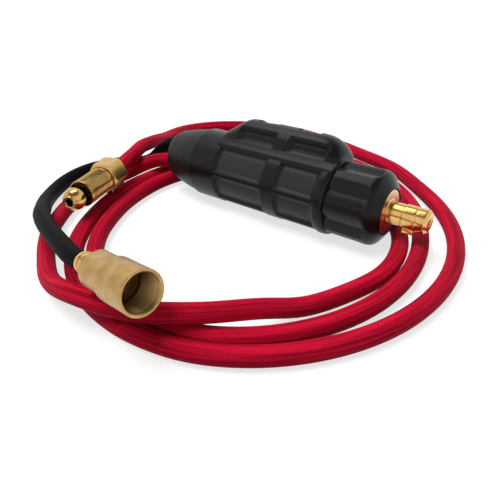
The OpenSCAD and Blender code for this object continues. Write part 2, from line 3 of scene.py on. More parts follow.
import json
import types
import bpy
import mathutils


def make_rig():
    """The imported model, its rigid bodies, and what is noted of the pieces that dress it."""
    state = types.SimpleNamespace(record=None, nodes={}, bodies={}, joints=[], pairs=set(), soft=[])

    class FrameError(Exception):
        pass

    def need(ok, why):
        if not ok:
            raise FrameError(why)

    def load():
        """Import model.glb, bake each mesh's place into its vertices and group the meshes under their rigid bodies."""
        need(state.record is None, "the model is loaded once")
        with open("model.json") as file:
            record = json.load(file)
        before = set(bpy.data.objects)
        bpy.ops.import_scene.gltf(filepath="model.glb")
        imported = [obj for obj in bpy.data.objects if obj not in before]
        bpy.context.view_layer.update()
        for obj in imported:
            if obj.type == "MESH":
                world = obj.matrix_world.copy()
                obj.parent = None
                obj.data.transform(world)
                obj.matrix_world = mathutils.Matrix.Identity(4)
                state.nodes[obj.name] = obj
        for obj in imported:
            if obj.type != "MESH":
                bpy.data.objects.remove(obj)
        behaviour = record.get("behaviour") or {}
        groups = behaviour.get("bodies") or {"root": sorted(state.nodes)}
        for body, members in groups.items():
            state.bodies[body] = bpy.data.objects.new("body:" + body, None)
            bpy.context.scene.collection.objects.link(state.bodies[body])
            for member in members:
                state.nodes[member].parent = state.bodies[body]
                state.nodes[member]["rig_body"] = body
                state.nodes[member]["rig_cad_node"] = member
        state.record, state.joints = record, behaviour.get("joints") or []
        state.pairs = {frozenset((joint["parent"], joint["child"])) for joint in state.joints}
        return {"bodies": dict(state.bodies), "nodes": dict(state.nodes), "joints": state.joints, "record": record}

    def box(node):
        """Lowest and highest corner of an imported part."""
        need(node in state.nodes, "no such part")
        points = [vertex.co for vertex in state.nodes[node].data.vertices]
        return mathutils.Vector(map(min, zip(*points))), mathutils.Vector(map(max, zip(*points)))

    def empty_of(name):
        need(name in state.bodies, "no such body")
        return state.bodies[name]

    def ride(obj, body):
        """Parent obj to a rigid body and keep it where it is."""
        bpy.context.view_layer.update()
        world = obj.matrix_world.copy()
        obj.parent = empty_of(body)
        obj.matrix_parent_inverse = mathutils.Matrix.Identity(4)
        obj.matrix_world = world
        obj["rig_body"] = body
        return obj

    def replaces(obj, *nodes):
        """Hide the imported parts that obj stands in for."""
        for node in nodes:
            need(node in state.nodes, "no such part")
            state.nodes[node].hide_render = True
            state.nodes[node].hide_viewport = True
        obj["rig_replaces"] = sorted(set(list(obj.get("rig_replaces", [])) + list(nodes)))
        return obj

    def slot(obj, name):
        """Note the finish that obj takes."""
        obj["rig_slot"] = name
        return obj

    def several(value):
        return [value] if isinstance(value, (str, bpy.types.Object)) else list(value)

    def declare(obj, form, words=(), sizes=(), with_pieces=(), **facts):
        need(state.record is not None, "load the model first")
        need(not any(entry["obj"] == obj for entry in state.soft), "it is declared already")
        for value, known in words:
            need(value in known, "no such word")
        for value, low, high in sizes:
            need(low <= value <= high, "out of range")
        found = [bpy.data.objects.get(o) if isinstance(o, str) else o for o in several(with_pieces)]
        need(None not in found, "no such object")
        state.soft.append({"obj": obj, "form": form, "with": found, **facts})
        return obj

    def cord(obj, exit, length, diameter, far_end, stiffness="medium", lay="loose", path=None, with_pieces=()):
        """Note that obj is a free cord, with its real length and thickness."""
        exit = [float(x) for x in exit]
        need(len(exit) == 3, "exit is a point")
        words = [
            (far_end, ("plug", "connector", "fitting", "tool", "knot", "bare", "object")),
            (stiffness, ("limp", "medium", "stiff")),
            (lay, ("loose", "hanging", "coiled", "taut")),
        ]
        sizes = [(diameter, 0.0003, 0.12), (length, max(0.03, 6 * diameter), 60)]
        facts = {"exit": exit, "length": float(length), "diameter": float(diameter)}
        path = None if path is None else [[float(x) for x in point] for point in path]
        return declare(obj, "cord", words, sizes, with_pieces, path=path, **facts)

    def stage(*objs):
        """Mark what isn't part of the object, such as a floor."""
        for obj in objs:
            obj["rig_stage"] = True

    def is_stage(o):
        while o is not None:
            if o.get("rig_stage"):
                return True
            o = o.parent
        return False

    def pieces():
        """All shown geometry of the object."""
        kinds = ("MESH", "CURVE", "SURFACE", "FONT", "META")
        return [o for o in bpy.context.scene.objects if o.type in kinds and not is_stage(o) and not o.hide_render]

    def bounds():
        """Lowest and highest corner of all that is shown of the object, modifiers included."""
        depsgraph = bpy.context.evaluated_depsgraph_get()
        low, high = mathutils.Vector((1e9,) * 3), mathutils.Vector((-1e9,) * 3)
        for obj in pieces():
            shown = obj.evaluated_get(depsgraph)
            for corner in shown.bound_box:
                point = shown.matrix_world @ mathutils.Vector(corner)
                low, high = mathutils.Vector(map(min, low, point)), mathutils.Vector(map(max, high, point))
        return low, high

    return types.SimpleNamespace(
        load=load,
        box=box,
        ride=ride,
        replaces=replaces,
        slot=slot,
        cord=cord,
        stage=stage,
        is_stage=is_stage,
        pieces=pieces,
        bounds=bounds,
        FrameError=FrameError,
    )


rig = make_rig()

bl_info = {
    "name": "TIG Torch Plug Lead",
    "version": (1, 0, 0),
    "blender": (4, 5, 0),
    "location": "View3D > Sidebar > Torch Plug",
    "description": "Moulded grip, turned brass plug and fittings, and two braided hoses",
    "category": "Object",
}

import json
import math

import bmesh
import bpy
from bpy.props import FloatProperty, FloatVectorProperty, IntProperty, PointerProperty
from mathutils import Euler, Matrix, Vector, noise

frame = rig.load()
CAD_BOX = [list(corner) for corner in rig.bounds()]
MM = 0.001
MERGE_WITHIN = 2e-6
THINNEST = 1e-7
SIZE_FILE = "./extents.json"


# ---- Places, from the frame ----
def span(node):
    """Where a node starts and ends along the plug, in millimetres."""
    low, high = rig.box(node)
    return low.x / MM, high.x / MM


def axis_height():
    """Height of the plug's axis, in metres."""
    low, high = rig.box("knob")
    return (low.z + high.z) / 2


def mount_frame(name, back):
    """Millimetres along a mount's axis, from a point that lies back behind it."""
    mount = next(m for m in frame["record"]["mounts"] if m["name"] == name)
    axis = Vector(mount["axis"])
    side = Vector((0, 0, 1)).cross(axis).normalized()
    turn = Matrix((axis, side, axis.cross(side))).transposed().to_4x4()
    start = Vector(mount["pos_m"]) - axis * back * MM
    return Matrix.Translation(start) @ turn @ Matrix.Scale(MM, 4)


BARREL_X, BARREL_END = span("barrel")
REAR_X = span("rear_boot")[0]
KNOB_X, KNOB_END = span("knob")
JOURNAL_X, TIP_X = span("plug")
COVER_END = BARREL_END - 0.5
BLOCK_END = BARREL_END - 7
SHOULDER_X = KNOB_END - 0.4
SOCKET_R = 18.3  # in the barrel, for the boot's spigot
SPIGOT_R = 18.2
SHANK_HOLE_R = 9.0  # in the barrel's front wall, for the plug's shank
COVER_ROLL = math.radians(-18)
NUT_TO_MOUNT = 26.7  # from the nut's rear face
COUPLING_TO_MOUNT = 37.3  # from the rear end of the coupling's tail
ROUND = 2 * math.pi

# The pieces' own millimetres: along the plug, rolled with its cover, and along each fitting
LEVEL = Matrix.Translation((0, 0, axis_height())) @ Matrix.Scale(MM, 4)
ROLLED = LEVEL @ Matrix.Rotation(COVER_ROLL, 4, "X")
NUT = mount_frame("nut_thread", NUT_TO_MOUNT)
COUPLING = mount_frame("coupling_mouth", COUPLING_TO_MOUNT)


# ---- Settings ----
def length(name, description, default):
    return FloatProperty(name=name, description=description, default=default * MM, unit="LENGTH", precision=4)


def colour(name, description, default):
    return FloatVectorProperty(
        name=name, description=description, default=default, size=3, min=0, max=1, subtype="COLOR"
    )


def angle(name, description, degrees):
    default = math.radians(degrees)
    return FloatProperty(name=name, description=description, default=default, subtype="ANGLE")


def share(name, description, default):
    return FloatProperty(name=name, description=description, default=default, min=0, max=1, subtype="FACTOR")


class GripSettings(bpy.types.PropertyGroup):
    """Sizes and finish of the moulded grip"""

    barrel_r: length("Barrel radius", "Radius of the barrel over its lands", 21.7)
    window_depth: length("Window depth", "Depth of the windows in the barrel", 2.0)
    rear_window: length("Rear window", "Length of the rear windows", 35.6)
    front_window: length("Front window", "Length of the front windows", 25.8)
    cover_r: length("Cover radius", "Radius of the cover's rounded back", 14.0)
    cover_rise: length("Cover rise", "Height of the centre of the cover's back", 19.0)
    panel_depth: length("Panel depth", "Depth of the panels in the cover", 2.6)
    knob_r: length("Knob radius", "Radius of the knob over its lands", 21.0)
    flutes: IntProperty(name="Flutes", description="Flutes round the knob", default=7, min=5, max=12)
    flute_depth: length("Flute depth", "Depth of the knob's flutes", 2.3)
    plastic: colour("Plastic", "Colour of the moulded plastic", (0.0060, 0.0058, 0.0066))
    rubber: colour("Rubber", "Colour of the rear boot", (0.0085, 0.0098, 0.0088))
    roughness: share("Roughness", "Roughness of the moulded plastic", 0.29)


class BrassSettings(bpy.types.PropertyGroup):
    """Sizes and finish of the brass pieces"""

    pin_r: length("Pin radius", "Radius of the plug's pin", 6.5)
    thread_r: length("Thread radius", "Radius of the union nut's thread", 7.95)
    thread_pitch: length("Thread pitch", "Pitch of both hose threads", 1.41)
    nut_flats: length("Nut flats", "Size of the nut across its flats", 18.0)
    ball_r: length("Ball radius", "Radius of the nipple's ball nose", 6.6)
    coupling_r: length("Coupling radius", "Radius of the female coupling", 9.8)
    bright: colour("Bright brass", "Colour of the turned brass", (0.76, 0.47, 0.155))
    cast: colour("Cast brass", "Colour of the matt coupling", (0.58, 0.365, 0.135))
    copper: colour("Copper", "Colour of the shoulder's plating", (0.86, 0.58, 0.36))


class HoseSettings(bpy.types.PropertyGroup):
    """Sizes and finish of the hoses"""

    hose_r: length("Hose radius", "Radius of both hoses over their braid", 4.75)
    yarns: IntProperty(name="Yarns", description="Yarns round the hose in each direction", default=24, min=12)
    lay: length("Lay", "Distance between two yarns along the hose", 1.24)
    red: colour("Red", "Colour of the red braid", (0.92, 0.010, 0.050))
    black: colour("Black", "Colour of the black braid", (0.0070, 0.0058, 0.0060))


class StageSettings(bpy.types.PropertyGroup):
    """Camera, lights and floor"""

    lens: FloatProperty(name="Lens", description="Focal length of the camera", default=37.41, unit="CAMERA")
    camera_at: FloatVectorProperty(
        name="Camera", description="Place of the camera", default=(0.15694, -0.24584, 0.1435),
        subtype="TRANSLATION",
    )
    pitch: angle("Pitch", "Tilt of the camera below the level", 30)
    heading: angle("Heading", "Turn of the camera from +Y", 37)
    sun: FloatProperty(name="Sun", description="Strength of the wide light from above", default=2.0, min=0)
    key: FloatProperty(name="Key", description="Power of the soft key light", default=1.7, unit="POWER")
    sky: share("Sky", "Strength of the world overhead", 0.2)
    paleness: share("Paleness", "Paleness of the floor", 0.36)
    glow: share("Glow", "Share of white that the floor shows by itself", 0.71)


# ---- Shader expressions ----
def operator_for(operation, reflected=False):
    """A method that adds a Math node for a value and another value or number."""

    def method(value, other):
        return value.math(operation, *((other, value) if reflected else (value, other)))

    return method


class Value:
    """A shader's number, with the operators that add Math nodes."""

    def __init__(self, nodes, socket):
        self.nodes = nodes
        self.socket = socket

    def math(self, operation, *numbers):
        return self.nodes.node("ShaderNodeMath", {"operation": operation}, dict(enumerate(numbers)))

    __add__ = __radd__ = operator_for("ADD")
    __mul__ = __rmul__ = operator_for("MULTIPLY")
    __sub__ = operator_for("SUBTRACT")
    __rsub__ = operator_for("SUBTRACT", reflected=True)
    __truediv__ = operator_for("DIVIDE")
    __pow__ = operator_for("POWER")
    __mod__ = operator_for("FLOORED_MODULO")
    over = operator_for("GREATER_THAN")
    larger = operator_for("MAXIMUM")

    def __abs__(self):
        return self.math("ABSOLUTE", self)

    def floor(self):
        return self.math("FLOOR", self)

    def sine(self):
        return self.math("SINE", self)

    def under(self, limit, reach):
        """0 at a limit, and 1 where the value is reach below it."""
        return (limit - self) / reach


class Nodes:
    """A node tree that expressions are built in."""

    def __init__(self, tree):
        self.tree = tree

    def node(self, kind, settings=None, inputs=None, output=0):
        made = self.tree.nodes.new(kind)
        for key, value in (settings or {}).items():
            setattr(made, key, value)
        for key, value in (inputs or {}).items():
            if isinstance(value, Value):
                self.tree.links.new(value.socket, made.inputs[key])
            else:
                made.inputs[key].default_value = value
        return Value(self, made.outputs[output])

    def parts(self, vector):
        """A vector's X, Y and Z."""
        split = self.node("ShaderNodeSeparateXYZ", inputs={"Vector": vector}).socket.node
        return [Value(self, out) for out in split.outputs]

    def seen(self):
        """1 where the camera, a reflection or a clear piece sees the surface, otherwise 0."""
        rays = ("Is Camera Ray", "Is Glossy Ray", "Is Transmission Ray")
        camera, glossy, clear = (self.node("ShaderNodeLightPath", output=ray) for ray in rays)
        return camera.larger(glossy).larger(clear)


class Paint(Nodes):
    """A material, built from a Principled shader and expressions."""

    def __init__(self, name, **constants):
        self.material = bpy.data.materials.new(name)
        self.material.use_nodes = True
        super().__init__(self.material.node_tree)
        self.shader = next(n for n in self.tree.nodes if n.type == "BSDF_PRINCIPLED")
        for socket, value in constants.items():
            self.shader.inputs[socket.replace("_", " ")].default_value = value

    def feed(self, **links):
        """Links values to the shader's sockets."""
        for socket, value in links.items():
            self.tree.links.new(value.socket, self.shader.inputs[socket.replace("_", " ")])

    def local(self, place, stretch=(1, 1, 1)):
        """A piece's own millimetres, with X along its axis, stretched for a pattern."""
        at, turn, size = place.inverted().decompose()
        coordinates = self.node("ShaderNodeTexCoord", output="Object")
        own = self.node(
            "ShaderNodeMapping",
            inputs={"Vector": coordinates, "Location": at, "Rotation": turn.to_euler(), "Scale": size},
        )
        return self.node("ShaderNodeMapping", inputs={"Vector": own, "Scale": stretch})

    def radius(self, where):
        """Distance from a piece's own axis, in millimetres."""
        _, y, z = self.parts(where)
        return (y * y + z * z) ** 0.5

    def noise(self, vector, scale, detail=2.0, roughness=0.5):
        inputs = {"Vector": vector, "Scale": scale, "Detail": detail, "Roughness": roughness}
        return self.node("ShaderNodeTexNoise", inputs=inputs)

    def mix(self, factor, low, high):
        """A colour from low, where the factor is 0 or less, to high, where it is 1 or more."""
        settings = {"data_type": "RGBA", "clamp_factor": True}
        return self.node("ShaderNodeMix", settings, {0: factor, 6: low, 7: high}, output=2)

    def bump(self, height, distance, strength):
        inputs = {"Height": height, "Distance": distance, "Strength": strength}
        return self.node("ShaderNodeBump", inputs=inputs)


# ---- Finishes ----
def shade(base, share_of_light):
    """A colour made darker or lighter, with its alpha."""
    return [min(1.0, channel * share_of_light) for channel in base] + [1.0]


def moulded(name, base, roughness, place, grain=0.35, painted_light_r=None):
    """Moulded plastic or rubber: fine grain over slow changes of gloss, and painted light, a paler colour within the
    radius given for sunk floors.
    """
    paint = Paint(name, IOR=1.36, Specular_IOR_Level=0.32)
    where = paint.local(place)
    fine = paint.noise(where, scale=3.2, detail=3.0, roughness=0.6)
    slow = paint.noise(where, scale=0.06, detail=4.0, roughness=0.55)
    specks = paint.noise(where, scale=1.1).over(0.66)
    tone = paint.mix(slow, shade(base, 0.78), shade(base, 1.3))
    # Painted light: what lies within this radius, such as sunk window floors, is painted paler as if lit.
    if painted_light_r:
        tone = paint.mix(paint.radius(where).under(painted_light_r, 0.5), tone, shade(base, 4.2))
    paint.feed(
        Base_Color=paint.mix(specks * 0.25, tone, shade(base, 1.9)),
        Roughness=roughness - 0.07 + 0.14 * slow + 0.08 * (fine - 0.5),
        Normal=paint.bump(fine, distance=0.00004, strength=grain),
    )
    return paint.material


def turned(name, base, place, roughness=0.14, rings=0.2, dark=0.74, groove_r=None):
    """Bright turned brass: tool rings round its axis, a thin tarnish, and painted shade, nearly black, within radius
    groove_r, as in thread grooves.
    """
    paint = Paint(name, Metallic=1.0)
    where = paint.local(place)
    along = paint.noise(paint.local(place, (1, 0.02, 0.02)), scale=1.6)
    tarnish = paint.noise(where, scale=0.16, detail=3.0)
    tone = paint.mix(tarnish * 1.5 - 0.4, shade(base, 1.08), shade(base, dark))
    # Painted shade: within radius groove_r, in the grooves of a thread, the brass is painted nearly black.
    if groove_r:
        tone = paint.mix(paint.radius(where).under(groove_r, 1 / 3), tone, shade(base, 0.05))
    paint.feed(
        Base_Color=tone,
        Roughness=roughness + 0.12 * tarnish + 0.06 * along - 0.05,
        Normal=paint.bump(along, distance=0.00001, strength=rings),
    )
    return paint.material


def blasted(name, base, place, bore_r, bottom, mouth):
    """Matt brass: a blasted grain with handling marks, and painted shade in the bore, darker at its thread roots and
    darkest towards its bottom.
    """
    paint = Paint(name, Metallic=1.0)
    where = paint.local(place)
    grain = paint.noise(where, scale=4.0, detail=4.0, roughness=0.7)
    slow = paint.noise(where, scale=0.16, detail=5.0, roughness=0.6)
    outer = paint.mix(slow * 2.2 - 0.6, shade(base, 1.15), shade(base, 0.62))
    x = paint.parts(where)[0]
    radius = paint.radius(where)
    # Painted shade in the bore: the thread roots are painted darker, and the bore darker still towards its bottom.
    root_r, thread_depth = bore_r + 0.025, 0.625
    threads = paint.mix(radius.under(root_r, thread_depth), shade(base, 0.25), shade(base, 0.85))
    bore = paint.mix(x.under(mouth, mouth - bottom), threads, shade(base, 0.12))
    # Where the bore's painted shade goes: inside its radius, from near its bottom onwards.
    in_bore = radius.under(bore_r, 1 / 3) * x.over(bottom - 0.5)
    paint.feed(
        Base_Color=paint.mix(grain * 0.35, paint.mix(in_bore, outer, bore), shade(base, 0.55)),
        Roughness=0.27 + 0.18 * slow + 0.1 * (grain - 0.5),
        Normal=paint.bump(grain, distance=0.00005, strength=0.5),
    )
    return paint.material


def braided(name, base, settings, sheen=0.0, gleam=(1.0, 1.0, 1.0)):
    """A tight braid on a hose: two sets of yarns that cross over and under, painted shade in the gaps between them,
    and streaks along it, part uneven yarn tone and part painted sheen.
    """
    paint = Paint(
        name, IOR=1.12, Specular_IOR_Level=0.3, Sheen_Weight=sheen, Sheen_Roughness=0.35,
        Sheen_Tint=shade(gleam, 1.0),
    )
    hose_uv = paint.node("ShaderNodeUVMap", {"uv_map": "hose"})
    around, along = paint.parts(hose_uv)[:2]
    turns = around * settings.yarns
    steps = along / (settings.lay / MM)
    left = turns + steps
    right = turns - steps
    fullness = 1.7
    ridge_left = 1 - abs((left % 1) * 2 - 1) ** fullness
    ridge_right = 1 - abs((right % 1) * 2 - 1) ** fullness
    left_on_top = ((left.floor() + right.floor()) % 2).over(0.5)
    yarn = left_on_top * ridge_left + (1 - left_on_top) * ridge_right
    turn = around * ROUND
    wide, long = 2.2, 0.012
    tube = paint.node(
        "ShaderNodeCombineXYZ",
        inputs={0: turn.sine() * wide, 1: (turn + math.pi / 2).sine() * wide, 2: along * long},
    )
    streaks = paint.noise(tube, scale=1.7, detail=4.0, roughness=0.62)
    fuzz = paint.noise(hose_uv, scale=9.0)
    # Streaks along the hose, lighter and darker: part uneven yarn tone, part painted sheen like light running along a
    # braid.
    dulled_and_sheen = paint.mix(streaks * 3.2 - 1.1, shade(base, 0.34), shade(base, 1.25))
    paint.feed(
        # Painted shade: the gaps between the yarns are painted dark, where shade falls between them.
        Base_Color=paint.mix(yarn * 0.85 + 0.15 * fuzz, shade(base, 0.22), dulled_and_sheen),
        Roughness=0.42 + 0.25 * (1 - yarn) + 0.1 * (streaks - 0.5),
        Normal=paint.bump(yarn * 0.8 + streaks * 0.9, distance=0.0003, strength=0.6),
    )
    return paint.material


# ---- Profiles and meshes ----
def softened(points, steps=4):
    """A profile of (x, r, fillet) points, its corners turned into arcs of that reach."""
    nearly_half = 0.48
    line = []
    for i, (x, r, *fillet) in enumerate(points):
        here = Vector((x, r))
        if not fillet or i in (0, len(points) - 1):
            line.append(here)
            continue
        before = Vector(points[i - 1][:2]) - here
        after = Vector(points[i + 1][:2]) - here
        start = here + before.normalized() * min(fillet[0], before.length * nearly_half)
        end = here + after.normalized() * min(fillet[0], after.length * nearly_half)
        for step in range(steps + 1):
            t = step / steps
            line.append(start * (1 - t) ** 2 + here * 2 * t * (1 - t) + end * t * t)
    return line


def divided(line, pitch):
    """A line with points no further than pitch apart."""
    points = [line[0]]
    for start, end in zip(line, line[1:]):
        count = max(1, math.ceil((end - start).length / pitch))
        points += [start.lerp(end, (k + 1) / count) for k in range(count)]
    return points


def spaced(line, count):
    """A line as count points, evenly apart along it."""
    reach = [0.0]
    for start, end in zip(line, line[1:]):
        reach.append(reach[-1] + (end - start).length)
    points = []
    i = 0
    for k in range(count):
        at = reach[-1] * k / (count - 1)
        while i < len(line) - 2 and reach[i + 1] < at:
            i += 1
        step = reach[i + 1] - reach[i]
        points.append(line[i].lerp(line[i + 1], (at - reach[i]) / step if step else 0))
    return points


def lathe(line, steps):
    """A profile of (x, r) points spun round the X axis."""
    mesh = bmesh.new()
    verts = [mesh.verts.new((p[0], 0, p[1])) for p in line]
    edges = [mesh.edges.new(pair) for pair in zip(verts, verts[1:])]
    bmesh.ops.spin(
        mesh, geom=verts + edges, cent=(0, 0, 0), axis=(1, 0, 0), angle=ROUND, steps=steps, use_merge=True
    )
    return mesh


def carve(mesh, depth):
    """Moves each point towards the X axis by depth(x, angle, radius)."""
    for vert in mesh.verts:
        x, y, z = vert.co
        radius = math.hypot(y, z)
        if radius > MERGE_WITHIN / MM:
            keep = 1 - depth(x, math.atan2(y, z), radius) / radius
            vert.co = (x, y * keep, z * keep)


def grid(columns, rows, place, uv="grid", uv_height=1):
    """A net of points, each put where place(u, v) says, with u and v from 0 to 1."""
    mesh = bmesh.new()
    layer = mesh.loops.layers.uv.new(uv)
    bmesh.ops.create_grid(mesh, x_segments=columns, y_segments=rows, size=0.5)
    for face in mesh.faces:
        for loop in face.loops:
            loop[layer].uv = (loop.vert.co.x + 0.5, (loop.vert.co.y + 0.5) * uv_height)
    for vert in mesh.verts:
        vert.co = place(vert.co.x + 0.5, vert.co.y + 0.5)
    return mesh


def close_ends(mesh):
    """Fills the openings at a net's ends."""
    bmesh.ops.holes_fill(mesh, edges=[edge for edge in mesh.edges if edge.is_boundary], sides=0)


def block(low, high, radius):
    """A block with rounded edges."""
    mesh = bmesh.new()
    bmesh.ops.create_cube(mesh, size=1)
    size = Vector(high) - Vector(low)
    middle = (Vector(high) + Vector(low)) / 2
    bmesh.ops.scale(mesh, vec=size, verts=mesh.verts)
    bmesh.ops.translate(mesh, vec=middle, verts=mesh.verts)
    bmesh.ops.bevel(
        mesh, geom=mesh.edges, offset=radius, segments=3, profile=0.5, affect="EDGES", material=-1
    )
    return mesh


def rounded_box(across, along, half_across, half_along, radius):
    """Signed distance from a point to a box with round corners; below 0 is inside."""
    a = abs(across) - half_across + radius
    b = abs(along) - half_along + radius
    return math.hypot(max(a, 0), max(b, 0)) + min(max(a, b), 0) - radius


def slope(distance, reach):
    """From 0 at an opening's edge to 1 at the foot of its slope."""
    return min(max(-distance / reach, 0), 1)


def add(name, data):
    """A new object in the scene."""
    made = bpy.data.objects.new(name, data)
    bpy.context.scene.collection.objects.link(made)
    return made


def piece(name, mesh, place, body, slot, material, *nodes, crease=None):
    """Makes the object: its place goes into its mesh, and it stands for the CAD nodes that it names."""
    bmesh.ops.transform(mesh, matrix=place, verts=mesh.verts)
    bmesh.ops.remove_doubles(mesh, verts=mesh.verts, dist=MERGE_WITHIN)
    bmesh.ops.dissolve_degenerate(mesh, edges=mesh.edges, dist=THINNEST)
    bmesh.ops.recalc_face_normals(mesh, faces=mesh.faces)
    data = bpy.data.meshes.new(name)
    mesh.to_mesh(data)
    mesh.free()
    data.polygons.foreach_set("use_smooth", [True] * len(data.polygons))
    if crease:
        data.set_sharp_from_angle(angle=math.radians(crease))
    data.materials.append(material)
    made = add(name, data)
    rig.ride(made, body)
    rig.slot(made, slot)
    if nodes:
        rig.replaces(made, *nodes)
    return made


def thread(radius, pitch, start, end, depth, inside=False):
    """Depth of a helical thread on a wall at that radius, fading at its two ends."""
    off_wall = 0.05

    def groove(x, angle, r):
        if abs(r - radius) > off_wall:
            return 0
        phase = (x / pitch - angle / ROUND) % 1
        wave = 0.5 - 0.5 * math.cos(ROUND * phase)
        fade = min(max((x - start) / pitch, 0), 1) * min(max((end - x) / pitch, 0), 1)
        return depth * wave * fade * (-1 if inside else 1)

    return groove


# ---- Barrel ----
class MakeBarrel(bpy.types.Operator):
    """Make the barrel, with its sunk windows and front bead"""

    bl_idname = "torch_plug.barrel"
    bl_label = "Barrel"

    def execute(self, context):
        grip = context.scene.torch_grip
        r = grip.barrel_r / MM
        depth = grip.window_depth / MM
        bead_x = BARREL_END - 6
        bead_r = r + 0.5
        bore_r = 15.1
        bore_x = BARREL_X + 40
        socket_end = BARREL_X + 34
        outside = softened([
            (BARREL_X, SOCKET_R), (BARREL_X, r, 0.9), (bead_x, r, 0.5), (bead_x + 0.7, bead_r, 0.7),
            (BARREL_END - 2, bead_r, 1.5), (BARREL_END, r - 0.6, 1.2), (BARREL_END, SHANK_HOLE_R),
        ])
        inside = softened([
            (BLOCK_END, SHANK_HOLE_R), (BLOCK_END, bore_r), (bore_x, bore_r), (socket_end, SOCKET_R),
            (BARREL_X, SOCKET_R),
        ])
        mesh = lathe(divided(outside, pitch=0.55) + inside, steps=288)
        front_l = grip.front_window / MM
        rear_l = grip.rear_window / MM
        rib_l = 8.8
        front_x = bead_x - 0.4 - front_l / 2
        rear_x = front_x - front_l / 2 - rib_l - rear_l / 2
        half_wide = r * math.radians(23.5)
        pitch = math.radians(53.5)
        windows = 5
        corner_r = 1.6

        def window(x, angle, radius):
            from_below = math.pi - abs(angle)
            if radius < r - 0.3 or from_below > windows / 2 * pitch:
                return 0
            across = ((from_below + pitch / 2) % pitch - pitch / 2) * r
            rear = rounded_box(across, x - rear_x, half_wide, rear_l / 2, corner_r)
            front = rounded_box(across, x - front_x, half_wide, front_l / 2, corner_r)
            return depth * slope(min(rear, front), depth)

        carve(mesh, window)
        # Painted light: the sunk window floors are painted paler, as if they caught the light.
        plastic = moulded("grip_plastic", grip.plastic, grip.roughness, LEVEL, painted_light_r=r - 1.4)
        piece("grip_barrel", mesh, ROLLED, "root", "grip", plastic, "barrel", crease=50)
        return {"FINISHED"}


# ---- Cover ----
def follow(line, x):
    """Height of a line of (x, height) points at x."""
    for start, end in zip(line, line[1:]):
        if x <= end.x:
            return start.y + (end.y - start.y) * max(0, x - start.x) / max(1e-6, end.x - start.x)
    return line[-1].y


class MakeCover(bpy.types.Operator):
    """Make the raised cover, with its panels and the flange along its sides"""

    bl_idname = "torch_plug.cover"
    bl_label = "Cover"

    def execute(self, context):
        grip = context.scene.torch_grip
        r = grip.cover_r / MM
        centre = grip.cover_rise / MM
        barrel_r = grip.barrel_r / MM
        depth = grip.panel_depth / MM
        front = COVER_END
        rear = front - 79
        start = rear - 0.3
        top = centre + r
        rim = barrel_r + 1
        sunk_foot = barrel_r - 1.5
        height = softened([
            (start, sunk_foot), (rear, barrel_r + 2.2, 1.4), (rear + 8, top - 2.7, 2.5),
            (rear + 12, top, 3.4), (front - 12, top, 5), (front - 4.6, top - 3, 4),
            (front - 1.2, top - 6.6, 2.5), (front, barrel_r + 1.6, 1), (front, sunk_foot),
        ], steps=8)
        width = softened([
            (start, r - 1.6), (rear + 1.5, r - 0.9, 1.5), (rear + 9, r, 4), (front - 9, r, 5),
            (front - 1.5, r - 2.6, 2), (front, r - 4.5),
        ], steps=6)
        flare = 1.3
        flange = 1.8
        edge = r + flare + flange

        def beside(radius, across):
            """Height of a circle of that radius about the plug's axis, at a distance across."""
            return math.sqrt(radius * radius - across * across)

        def section(x):
            """Half of the cover's outline at x, from its crown to the foot of its flange."""
            high = follow(height, x)
            wide = follow(width, x)
            wall_top = min(centre, high - 1.0)
            arch = [
                Vector((wide * math.sin(a), wall_top + (high - wall_top) * math.cos(a)))
                for a in [math.radians(5 * k) for k in range(19)]
            ]
            foot = wide + flare
            ledge = [
                (foot, beside(rim, foot), 0.8), (edge, beside(rim, edge), 0.6),
                (edge + 0.2, beside(barrel_r, edge) - 0.8), (edge - 2, barrel_r * 0.6),
            ]
            return arch[:-1] + softened([tuple(arch[-1])] + ledge, 3)

        # Each panel's middle and half width in degrees from the crown, its place and its half length
        panels = [
            (0, 22, rear + 25, 7), (0, 22, rear + 53.5, 7.5),
            (70, 20.5, rear + 24.5, 13.5), (70, 20.5, rear + 59, 13),
        ]
        corner_r = 1.2

        def sunk(x, across, high):
            """Depth of the panels at a point of the cover's back, none of which reach its ledge."""
            if high < centre - 3:
                return 0
            angle = math.degrees(math.atan2(abs(across), high - centre))
            deepest = 0
            for middle, half, at, half_l in panels:
                off = math.radians(angle - middle) * r
                inside = rounded_box(off, x - at, math.radians(half) * r, half_l, corner_r)
                deepest = max(deepest, depth * slope(inside, depth))
            return deepest

        sections = {}
        columns, rows = 300, 200

        def place(u, v):
            x = start + (front - start) * u
            key = round(u * columns)
            if key not in sections:
                sections[key] = spaced(section(x), rows // 2 + 1)
            off = v * 2 - 1
            point = sections[key][round(abs(off) * (rows // 2))]
            across, high = math.copysign(point.x, off), point.y
            cut = sunk(x, across, high)
            if cut:
                inward = Vector((-across, centre - high)).normalized() * cut
                across, high = across + inward.x, high + inward.y
            return x, across, high

        mesh = grid(columns, rows, place)
        close_ends(mesh)
        plastic = moulded("cover_plastic", grip.plastic, grip.roughness, LEVEL)
        piece("grip_cover", mesh, ROLLED, "root", "grip", plastic, "lobe_cover", crease=55)
        return {"FINISHED"}


